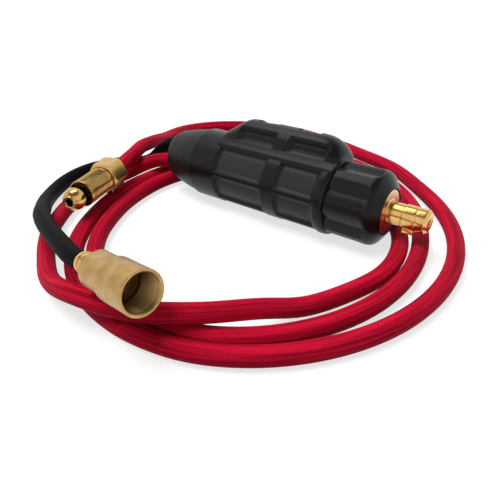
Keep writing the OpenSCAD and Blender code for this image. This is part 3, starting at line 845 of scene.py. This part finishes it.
# ---- Boot ----
class MakeBoot(bpy.types.Operator):
    """Make the smooth rubber boot that both hoses leave through"""

    bl_idname = "torch_plug.boot"
    bl_label = "Boot"

    def execute(self, context):
        grip = context.scene.torch_grip
        boot_l = BARREL_X - REAR_X
        seam_x = BARREL_X - 0.15
        spigot_end = BARREL_X + 10
        outside = softened([
            (REAR_X, 0), (REAR_X, 15.3, 4.5), (REAR_X + 0.3 * boot_l, 17.4, 5),
            (REAR_X + 0.6 * boot_l, 19.3, 5), (REAR_X + 0.84 * boot_l, 20.4, 4),
            (seam_x, 21.0, 0.5), (seam_x, SPIGOT_R, 0.2), (spigot_end, SPIGOT_R, 0.3), (spigot_end, 0),
        ], steps=8)
        mesh = lathe(divided(outside, pitch=1.2), steps=128)
        rubber = moulded("boot_rubber", grip.rubber, 0.42, LEVEL, grain=0.2)
        piece("rear_boot_skin", mesh, ROLLED, "root", "boot", rubber, "rear_boot", crease=50)
        return {"FINISHED"}


# ---- Knob ----
class MakeKnob(bpy.types.Operator):
    """Make the turning knob, with its flutes and blunt nose"""

    bl_idname = "torch_plug.knob"
    bl_label = "Knob"

    def execute(self, context):
        grip = context.scene.torch_grip
        r = grip.knob_r / MM
        depth = grip.flute_depth / MM
        nose = KNOB_END - 6.7
        recess_r = 12.4
        recess_x = KNOB_END - 3.9
        hole_r = 8.8
        outside = softened([
            (KNOB_X, hole_r), (KNOB_X, r, 0.9), (nose + 1.6, r, 3.3), (KNOB_END - 0.1, 13.3, 0.7),
            (KNOB_END, recess_r + 0.4, 0.2), (KNOB_END - 0.4, recess_r, 0.2), (recess_x, recess_r),
            (recess_x, hole_r), (KNOB_X, hole_r),
        ], steps=6)
        mesh = lathe(divided(outside, pitch=0.45), steps=300)
        step = ROUND / grip.flutes
        clock = math.radians(55)
        half_wide = 6.6
        floor_r = 0.5
        end_slope = 1.3
        end_x = nose + 1.5 - half_wide

        def flute(x, angle, radius):
            """Depth of the flutes: flat walls down to a small round floor, and a rounded front end."""
            turn = (-angle - clock + step / 2) % step - step / 2
            across = math.hypot(turn * r, floor_r) - floor_r
            to_edge = half_wide - math.hypot(max(0, x - end_x), across)
            cut = min(depth * (1 - across / half_wide), to_edge * end_slope)
            return max(0, cut - max(0, r - radius))

        carve(mesh, flute)
        plastic = moulded("knob_plastic", grip.plastic, grip.roughness, LEVEL)
        piece("turning_knob_body", mesh, LEVEL, "turning_knob", "grip", plastic, "knob", crease=50)
        return {"FINISHED"}


# ---- Plug ----
class MakePlug(bpy.types.Operator):
    """Make the bayonet plug: pin, neck, shoulder, locking lug and journal"""

    bl_idname = "torch_plug.plug"
    bl_label = "Plug"

    def execute(self, context):
        brass = context.scene.torch_brass
        r = brass.pin_r / MM
        neck_r = 6.1
        journal_r = 7.0
        shank_r = 8.4
        shank_end = SHOULDER_X - 1
        passage_r = 1.65
        groove_x = SHOULDER_X + 15.2
        groove_r = r - 0.2
        outside = softened([
            (JOURNAL_X, passage_r), (JOURNAL_X, journal_r, 0.6), (BLOCK_END, journal_r),
            (BLOCK_END, shank_r), (shank_end, shank_r), (shank_end, neck_r),
            (SHOULDER_X + 8.3, neck_r, 0.2), (SHOULDER_X + 8.6, r, 0.25),
            (groove_x, r, 0.1), (groove_x + 0.1, groove_r, 0.1), (groove_x + 0.6, groove_r, 0.1),
            (groove_x + 0.7, r, 0.1), (TIP_X - 1.5, r, 0.35), (TIP_X, r - 1.5, 0.3),
            (TIP_X, passage_r + 0.3, 0.2), (TIP_X - 0.5, passage_r, 0.2), (JOURNAL_X, passage_r),
        ])
        mesh = lathe(divided(outside, pitch=1.0), steps=128)
        disc_x = SHOULDER_X - 3.5
        disc_r = 12.2
        disc = softened([
            (disc_x, 8.2), (disc_x, disc_r, 0.3), (SHOULDER_X, disc_r, 0.5), (SHOULDER_X, 6.9, 0.3),
            (SHOULDER_X + 0.5, 6.2, 0.3), (SHOULDER_X - 0.9, 6.2), (SHOULDER_X - 0.9, 8.2), (disc_x, 8.2),
        ])
        lug = block((SHOULDER_X + 9, -2.1, 3.0), (SHOULDER_X + 15, 2.1, r + 2.2), radius=0.45)
        lug_turn = Matrix.Rotation(math.radians(165), 3, "X")
        bmesh.ops.rotate(lug, cent=(0, 0, 0), matrix=lug_turn, verts=lug.verts)
        bright = turned("plug_brass", brass.bright, LEVEL)
        piece("plug_body", mesh, LEVEL, "turning_knob", "machined_brass", bright, "plug", crease=40)
        piece("plug_lug", lug, LEVEL, "turning_knob", "machined_brass", bright, crease=40)
        plated = turned("shoulder_plating", brass.copper, LEVEL, 0.24, rings=0.6, dark=0.7)
        shoulder = lathe(divided(disc, pitch=1.0), steps=128)
        piece("plug_shoulder", shoulder, LEVEL, "turning_knob", "machined_brass", plated, crease=40)
        return {"FINISHED"}


# ---- Union nut and nipple ----
class MakeUnionNut(bpy.types.Operator):
    """Make the union nut, with its hexagon and male thread, and the ball nipple in it"""

    bl_idname = "torch_plug.union_nut"
    bl_label = "Union nut"

    def execute(self, context):
        brass = context.scene.torch_brass
        r = brass.thread_r / MM
        pitch = brass.thread_pitch / MM
        apothem = brass.nut_flats / MM / 2
        twelfth = ROUND / 12
        corner = apothem / math.cos(twelfth)
        dulled_and_sheen = [channel * 0.84 for channel in brass.bright]
        # The nut's thread grooves get painted shade.
        bright = turned("nut_brass", dulled_and_sheen, NUT, 0.15, groove_r=r - 0.15)
        hexagon_l = 15
        nut_l = 39.5
        bore_r = 6.2
        seat_x = 28
        seat_r = 4.95
        rim_r = corner + 0.4
        undercut_r = r - 0.3
        hexagon = softened([
            (0, bore_r), (0, corner - 1.2, 0.3), (1.0, rim_r, 0.3), (hexagon_l - 1.4, rim_r, 0.3),
            (hexagon_l, corner - 1.7, 0.3), (hexagon_l, undercut_r, 0.2),
        ])
        shank = softened([
            (hexagon_l + 0.8, undercut_r, 0.2), (hexagon_l + 1.2, r, 0.1), (nut_l - 1.1, r, 0.3),
            (nut_l, r - 1.0, 0.2), (nut_l, 5.2, 0.2), (nut_l - 0.6, seat_r, 0.2), (seat_x, seat_r),
            (seat_x, bore_r), (0, bore_r),
        ])
        mesh = lathe(divided(hexagon, pitch=0.6) + divided(shank, pitch / 8), steps=144)
        cut = thread(r, pitch, hexagon_l + 1.4, nut_l - 0.9, depth=0.8)

        def shape(x, angle, radius):
            if x < hexagon_l + 0.1 and radius > bore_r + 0.3:
                off = (angle + twelfth) % (2 * twelfth) - twelfth
                return max(0, radius - apothem / math.cos(off))
            return cut(x, angle, radius)

        carve(mesh, shape)
        piece("union_nut_body", mesh, NUT, "spinning_nut", "bright_brass", bright, "union_nut", crease=35)
        ball = brass.ball_r / MM
        ball_x = 45.5
        neck_r = 4.6
        neck_end = ball_x - math.sqrt(ball * ball - neck_r ** 2) - 0.6
        collar_r = 5.8
        tip_x = ball_x + 6.0
        passage_r = 2.2
        arc = [
            Vector((ball_x + ball * math.cos(a), ball * math.sin(a)))
            for a in [math.radians(135 - 3.5 * k) for k in range(28)]
        ]
        neck = softened([
            (NUT_HOSE_END, passage_r), (NUT_HOSE_END, collar_r, 0.2), (NUT_HOSE_END + 2, collar_r, 0.2),
            (NUT_HOSE_END + 2, neck_r, 0.3), (neck_end, neck_r, 0.3), tuple(arc[0]),
        ])
        tip = softened([
            tuple(arc[-1]), (tip_x - 1.0, 4.0, 0.4), (tip_x, 3.6, 0.3), (tip_x, 2.6, 0.2),
            (tip_x - 0.6, passage_r, 0.2), (NUT_HOSE_END, passage_r),
        ])
        mesh = lathe(divided(neck, pitch=0.8) + arc + divided(tip, pitch=0.8), steps=96)
        nipple = turned("nipple_brass", dulled_and_sheen, NUT, 0.13, rings=0.3)
        piece("ball_nipple_body", mesh, NUT, "root", "bright_brass", nipple, "ball_nipple", crease=40)
        return {"FINISHED"}


# ---- Coupling ----
class MakeCoupling(bpy.types.Operator):
    """Make the female coupling, with its flats and inner thread, and the tail behind it"""

    bl_idname = "torch_plug.coupling"
    bl_label = "Coupling"

    def execute(self, context):
        brass = context.scene.torch_brass
        r = brass.coupling_r / MM
        pitch = brass.thread_pitch / MM
        mouth_r = brass.thread_r / MM
        rear, front, bottom = 10.7, 45.0, 29.0
        rear_r = r - 1.1
        step_x = rear + 13.5
        chamfer_x = front - 0.9
        relief_r = mouth_r + 0.5
        tail_r = 5.0
        passage_r = 2.5
        shell = softened([
            (rear, tail_r), (rear, rear_r, 0.7), (step_x, rear_r, 0.8), (step_x + 1.5, r, 0.8),
            (front, r, 0.5), (front, mouth_r + 0.8, 0.3), (chamfer_x, mouth_r, 0.2),
        ])
        inner = softened([
            (chamfer_x, mouth_r), (bottom + 1.6, mouth_r, 0.1), (bottom + 1.5, relief_r, 0.1),
            (bottom, relief_r, 0.1), (bottom, passage_r), (rear, passage_r), (rear, tail_r),
        ])
        mesh = lathe(divided(shell, pitch=0.5) + divided(inner, pitch / 8)[1:], steps=144)
        carve(mesh, thread(mouth_r, pitch, bottom + 1.6, front - 0.5, depth=0.6, inside=True))
        flat = 7.9
        flats_end = step_x + 1
        run_out = 1.5
        for vert in mesh.verts:
            x, _, z = vert.co
            if x < flats_end and abs(z) > flat:
                share_cut = min((flats_end - x) / run_out, 1)
                vert.co.z = math.copysign(abs(z) + (flat - abs(z)) * share_cut, z)
        # The coupling's bore gets painted shade, darker at its thread roots and bottom.
        cast = blasted("coupling_brass", brass.cast, COUPLING, mouth_r + 0.7, bottom, front)
        piece("coupling_body", mesh, COUPLING, "root", "cast_brass", cast, "female_coupling", crease=45)
        bead_x = 2.2
        neck_r = 4.7
        tail_end = rear + 9
        tail = softened([
            (0, passage_r), (0, 5.25, 0.7), (bead_x, 5.3, 0.7), (bead_x, neck_r, 0.2),
            (bead_x + 0.6, neck_r, 0.2), (bead_x + 0.9, tail_r, 0.1), (tail_end, tail_r),
            (tail_end, passage_r), (0, passage_r),
        ])
        fine = 0.8
        mesh = lathe(divided(tail, fine / 6), steps=96)
        carve(mesh, thread(tail_r, fine, bead_x + 1, tail_end, depth=0.32))
        bright = turned("tail_brass", brass.bright, COUPLING, 0.2)
        piece(
            "coupling_tail_body", mesh, COUPLING, "root", "machined_brass", bright, "coupling_tail", crease=40
        )
        return {"FINISHED"}


# ---- Hoses ----
# The routes repeat those of the hoses' solids, in millimetres and degrees. The coil's radii stand
# COIL_STEP apart, and its hump has a middle, a rise, half the length of its top and a run to each side.
COIL_CENTRE = Vector((-14.5, -35, 0))
COIL_START = 210
COIL_STEP = 30
RINGS_PER_TURN = 24
COIL_RADII = [
    105, 104, 109, 101, 89, 93.5, 95, 93, 93, 94, 88,
    77.5, 73.5, 79, 89.5, 102.5, 104.5, 104, 107, 118, 130, 127, 101,
    89, 84.5, 90, 101, 113, 118, 121, 125.5, 134, 155,
]
COIL_HUMP = (288, 10, 19, 22)
RED_LEAD = [
    (-93, -2.2, 16.7), (-99, -4.2, 16.4), (-105, -7.8, 15.4), (-110.5, -13.2, 13.2),
    (-115.5, -20, 10), (-119.2, -28.5, 7.4), (-121, -39, 5.4), (-121, -50.5, 4.75),
    (-118.5, -63, 4.75), (-113, -75, 4.75),
]
RED_END = [
    (-25.5, 124, 4.75), (-42, 129, 4.75), (-58.5, 132, 4.75), (-78, 134.5, 4.75),
    (-97.5, 133, 4.75), (-115, 128.5, 4.75), (-131.5, 120, 4.75), (-145.5, 108.5, 4.75),
    (-154.5, 95.5, 5), (-157.5, 81, 6), (-154.5, 66.5, 8), (-148, 50.5, 10.5),
    (-139, 34, 14), (-131, 19.5, 17.9), (-125, 6.8, 20.6), (-121, -6, 21.7),
    (-115.3, -18, 21.3), (-110.9, -29, 20.5),
]
BLACK_ROUTE = [
    (-94, 1.9, 27.2), (-100.5, 2.3, 25.3), (-107, 2.8, 21.3), (-113, 3.2, 16.3),
    (-119, 3.2, 11.2), (-125.5, 2.2, 7.5), (-132.5, 0, 5.4), (-140, -4.4, 4.8),
    (-146.3, -12, 4.75), (-150.3, -22, 4.75), (-151.5, -34, 4.75), (-149.5, -46, 4.75),
    (-145, -58, 4.75), (-138, -69.5, 5), (-128.5, -80.5, 6.5), (-117, -90.5, 9.5),
    (-104.5, -99.5, 13), (-89.8, -109.2, 17.2), (-74.7, -116.8, 19.7), (-58.5, -123.5, 22),
    (-42.2, -129.4, 24.1),
]
HOSE_OFFSET = 5.75
HOSE_START = -31.5
HOSE_D = 9.5
NUT_HOSE_END = 24
RING_PITCH = 2.2
SIDES = 24


def through(values, at):
    """A list of numbers or points, read at a place between its items on a smooth curve through them."""
    i = math.floor(at)
    last = len(values) - 1
    a, b, c, d = (values[max(0, min(last, i + k))] for k in (-1, 0, 1, 2))
    t = at - i
    return (
        b + t * (c - a) / 2 + t * t * (a - 2.5 * b + 2 * c - d / 2)
        + t * t * t * (-a / 2 + 1.5 * b - 1.5 * c + d / 2)
    )


def coil_point(k):
    """The coil's point at ring k."""
    turned_by = k * 360 / RINGS_PER_TURN
    angle = COIL_START + turned_by
    radius = through(COIL_RADII, turned_by / COIL_STEP)
    middle, rise, half_top, run = COIL_HUMP
    down = min(max((abs(angle - middle) - half_top) / run, 0), 1)
    height = HOSE_D / 2 + rise * (1 + math.cos(math.pi * down)) / 2
    turn = math.radians(angle)
    return COIL_CENTRE + Vector((radius * math.cos(turn), radius * math.sin(turn), height))


def boot_exit(side):
    """A hose's first points, in the boot: side is 1 for the upper hose and -1 for the lower one."""
    across = -HOSE_OFFSET * math.sin(COVER_ROLL) * side
    high = axis_height() / MM + HOSE_OFFSET * math.cos(COVER_ROLL) * side
    return [Vector((x, across, high)) for x in (HOSE_START, HOSE_START - HOSE_D, REAR_X)]


def fitting_line(fitting, *distances):
    """Points on a fitting's axis."""
    return [fitting @ Vector((x, 0, 0)) / MM for x in distances]


def red_points():
    rings = (len(COIL_RADII) - 1) * COIL_STEP * RINGS_PER_TURN // 360
    lead = [Vector(p) for p in RED_LEAD]
    turns = [coil_point(k) for k in range(rings + 1)]
    rise = [Vector(p) for p in RED_END]
    nut = fitting_line(NUT, -10, 0, NUT_HOSE_END - HOSE_D, NUT_HOSE_END)
    return boot_exit(-1) + lead + turns + rise + nut


def black_points():
    return boot_exit(1) + [Vector(p) for p in BLACK_ROUTE] + fitting_line(COUPLING, -12, 0)


def route_length(points):
    return sum((b - a).length for a, b in zip(points, points[1:]))


def hose(name, points, radius, material, slot, node):
    """A hose swept along a route, its section a little uneven, as braid over a soft core is."""
    steps = 6
    fine = [through(points, k / steps) for k in range((len(points) - 1) * steps + 1)]
    count = math.ceil(route_length(fine) / RING_PITCH)
    path = spaced(fine, count + 1)
    ups = [Vector((0, 0, 1))]
    sides_of = []
    for i in range(count + 1):
        ahead = (path[min(i + 1, count)] - path[max(i - 1, 0)]).normalized()
        up = (ups[-1] - ahead * ups[-1].dot(ahead)).normalized()
        ups.append(up)
        sides_of.append((up, ahead.cross(up)))

    wide, long = 1.6, 0.01
    mean, uneven = 0.982, 0.03

    def place(u, v):
        i = round(v * count)
        up, across = sides_of[i]
        turn = ROUND * u
        at = Vector((math.cos(turn) * wide, math.sin(turn) * wide, i * RING_PITCH * long))
        grown = radius * (mean + uneven * noise.noise(at))
        return path[i] + grown * (math.cos(turn) * up + math.sin(turn) * across)

    mesh = grid(SIDES, count, place, "hose", route_length(path))
    bmesh.ops.remove_doubles(mesh, verts=mesh.verts, dist=MERGE_WITHIN / MM)
    close_ends(mesh)
    made = piece(name, mesh, Matrix.Scale(MM, 4), "root", slot, material, node)
    return made, [point * MM for point in path]


class MakeHoses(bpy.types.Operator):
    """Make both braided hoses along their routes"""

    bl_idname = "torch_plug.hoses"
    bl_label = "Hoses"

    def execute(self, context):
        settings = context.scene.torch_hose
        radius = settings.hose_r / MM
        red = braided("red_braid", settings.red, settings, 0.03, (1.0, 0.12, 0.22))
        black = braided("black_braid", settings.black, settings)
        made, path = hose("red_hose_braid", red_points(), radius, red, "red_braid", "red_hose")
        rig.cord(
            made, exit=path[0], length=route_length(path), diameter=2 * settings.hose_r, far_end="fitting",
            stiffness="medium", lay="loose", path=path,
            with_pieces=["union_nut_body", "ball_nipple_body", "nut_crimp"],
        )
        made, path = hose("black_hose_braid", black_points(), radius, black, "black_braid", "black_hose")
        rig.cord(
            made, exit=path[0], length=route_length(path), diameter=2 * settings.hose_r, far_end="fitting",
            stiffness="medium", lay="loose", path=path,
            with_pieces=["coupling_body", "coupling_tail_body", "seat_washer"],
        )
        return {"FINISHED"}


# ---- Inner pieces ----
class FinishInnerPieces(bpy.types.Operator):
    """Give each piece inside the grip its finish"""

    bl_idname = "torch_plug.inner_pieces"
    bl_label = "Inner pieces"

    def execute(self, context):
        brass = context.scene.torch_brass
        bronze = (0.55, 0.30, 0.13)
        zinc = (0.56, 0.57, 0.58)
        white = (0.72, 0.70, 0.64)
        seal = (0.012, 0.012, 0.012)
        finishes = {
            "machined_brass": turned("inner_brass", brass.bright, LEVEL, 0.22),
            "bronze": turned("inner_bronze", bronze, LEVEL, 0.28),
            "spring_steel": turned("inner_zinc", zinc, LEVEL, 0.3),
            "white_plastic": moulded("inner_white", white, 0.45, LEVEL),
            "seal_rubber": moulded("inner_seal", seal, 0.5, LEVEL),
        }
        slots = {part["node"]: part["material_slot"] for part in frame["record"]["subparts"]}
        for name, node in frame["nodes"].items():
            if not node.hide_render and slots[name] in finishes:
                node.data.materials.clear()
                node.data.materials.append(finishes[slots[name]])
        return {"FINISHED"}


# ---- Stage ----
KEY_PLACE = Vector((-0.27, 0.04, 0.64))
KEY_AIM = Vector((-0.03, 0, 0.02))
KEY_SIZE = (0.56, 0.36)
SUN_SPREAD = math.radians(30)
SUN_AIM = Vector((0.22, 0.30, -1))
FLOOR_HALF = 3.0
FLOOR_DROP = 0.0003
# The height to which the world stays bright, the height from which it is dim (0 level, 1 overhead) and
# its strength at the level: each first for the light on the pieces, then for what is seen of the world
BRIGHT_TO = (0.2, 0.6)
DIM_FROM = (0.75, 0.85)
HORIZON = (0.6, 1.0)


def lamp(name, kind, energy, aim):
    """A lamp of a kind that shines along aim."""
    data = bpy.data.lights.new(name, kind)
    data.energy = energy
    made = add(name, data)
    made.rotation_euler = aim.to_track_quat("-Z", "Y").to_euler()
    return made, data


class SetStage(bpy.types.Operator):
    """Set up the camera, the soft lights and the pale floor"""

    bl_idname = "torch_plug.stage"
    bl_label = "Stage"

    def execute(self, context):
        stage = context.scene.torch_stage
        self.set_camera(context, stage)
        self.set_floor(stage)
        self.set_world(context, stage)
        key, softbox = lamp("key", "AREA", stage.key, KEY_AIM - KEY_PLACE)
        key.location = KEY_PLACE
        softbox.shape = "RECTANGLE"
        softbox.size, softbox.size_y = KEY_SIZE
        sun, disc = lamp("sun", "SUN", stage.sun, SUN_AIM)
        sun.visible_glossy = False
        disc.angle = SUN_SPREAD
        return {"FINISHED"}

    def set_camera(self, context, stage):
        camera = bpy.data.cameras.new("camera")
        camera.lens = stage.lens
        camera.sensor_width = 36
        camera.clip_start = 0.01
        shot = add("camera", camera)
        shot.location = stage.camera_at
        shot.rotation_euler = Euler((math.radians(90) - stage.pitch, 0, stage.heading))
        context.scene.camera = shot
        context.scene.view_settings.view_transform = "Standard"

    def set_floor(self, stage):
        mesh = bmesh.new()
        bmesh.ops.create_grid(mesh, x_segments=1, y_segments=1, size=FLOOR_HALF)
        data = bpy.data.meshes.new("floor")
        mesh.to_mesh(data)
        mesh.free()
        floor = add("floor", data)
        floor.location.z = -FLOOR_DROP
        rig.stage(floor)
        grey = shade((stage.paleness,) * 3, 1)
        paint = Paint("floor", Base_Color=grey, Roughness=0.9, Specular_IOR_Level=0.1)
        glow = paint.node("ShaderNodeEmission", inputs={"Strength": paint.seen() * stage.glow})
        both = paint.node("ShaderNodeAddShader", inputs={0: Value(paint, paint.shader.outputs[0]), 1: glow})
        out = next(n for n in paint.tree.nodes if n.type == "OUTPUT_MATERIAL")
        paint.tree.links.new(both.socket, out.inputs["Surface"])
        data.materials.append(paint.material)

    def set_world(self, context, stage):
        world = bpy.data.worlds.new("studio")
        world.use_nodes = True
        context.scene.world = world
        sky = Nodes(world.node_tree)
        seen = sky.seen()
        height = sky.parts(sky.node("ShaderNodeTexCoord", output="Generated"))[2]
        bright_to, dim_from, horizon = (
            seen * (shown - lighting) + lighting for lighting, shown in (BRIGHT_TO, DIM_FROM, HORIZON)
        )
        strength = sky.node(
            "ShaderNodeMapRange", {"interpolation_type": "SMOOTHSTEP"},
            {0: height, "From Min": bright_to, "From Max": dim_from, "To Min": horizon, "To Max": stage.sky},
        )
        background = sky.tree.nodes["Background"]
        background.inputs["Color"].default_value = (1, 1, 1, 1)
        sky.tree.links.new(strength.socket, background.inputs["Strength"])


# ---- Panel and registration ----
OPERATORS = (
    SetStage, MakeUnionNut, MakeCoupling, MakeHoses, MakeBarrel, MakeCover, MakeBoot, MakeKnob, MakePlug,
    FinishInnerPieces,
)
SETTINGS = {
    "torch_grip": GripSettings,
    "torch_brass": BrassSettings,
    "torch_hose": HoseSettings,
    "torch_stage": StageSettings,
}


class TorchPlugPanel(bpy.types.Panel):
    """Lists the pieces of the plug and their settings"""

    bl_idname = "VIEW3D_PT_torch_plug"
    bl_label = "Torch Plug"
    bl_space_type = "VIEW_3D"
    bl_region_type = "UI"
    bl_category = "Torch Plug"

    def draw(self, context):
        for operator in OPERATORS:
            self.layout.operator(operator.bl_idname)
        for group, settings in SETTINGS.items():
            box = self.layout.box()
            for name in settings.__annotations__:
                box.prop(getattr(context.scene, group), name)


def register():
    for settings in SETTINGS.values():
        bpy.utils.register_class(settings)
    for operator in OPERATORS:
        bpy.utils.register_class(operator)
    bpy.utils.register_class(TorchPlugPanel)
    for group, settings in SETTINGS.items():
        setattr(bpy.types.Scene, group, PointerProperty(type=settings))


def unregister():
    for group in SETTINGS:
        delattr(bpy.types.Scene, group)
    bpy.utils.unregister_class(TorchPlugPanel)
    for operator in reversed(OPERATORS):
        bpy.utils.unregister_class(operator)
    for settings in reversed(SETTINGS.values()):
        bpy.utils.unregister_class(settings)


def main():
    register()
    for operator in OPERATORS:
        group, name = operator.bl_idname.split(".")
        getattr(getattr(bpy.ops, group), name)()
    visual_box = [list(corner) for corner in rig.bounds()]
    with open(SIZE_FILE, "w") as file:
        json.dump({"cad": CAD_BOX, "visual": visual_box}, file)


if __name__ == "__main__":
    main()
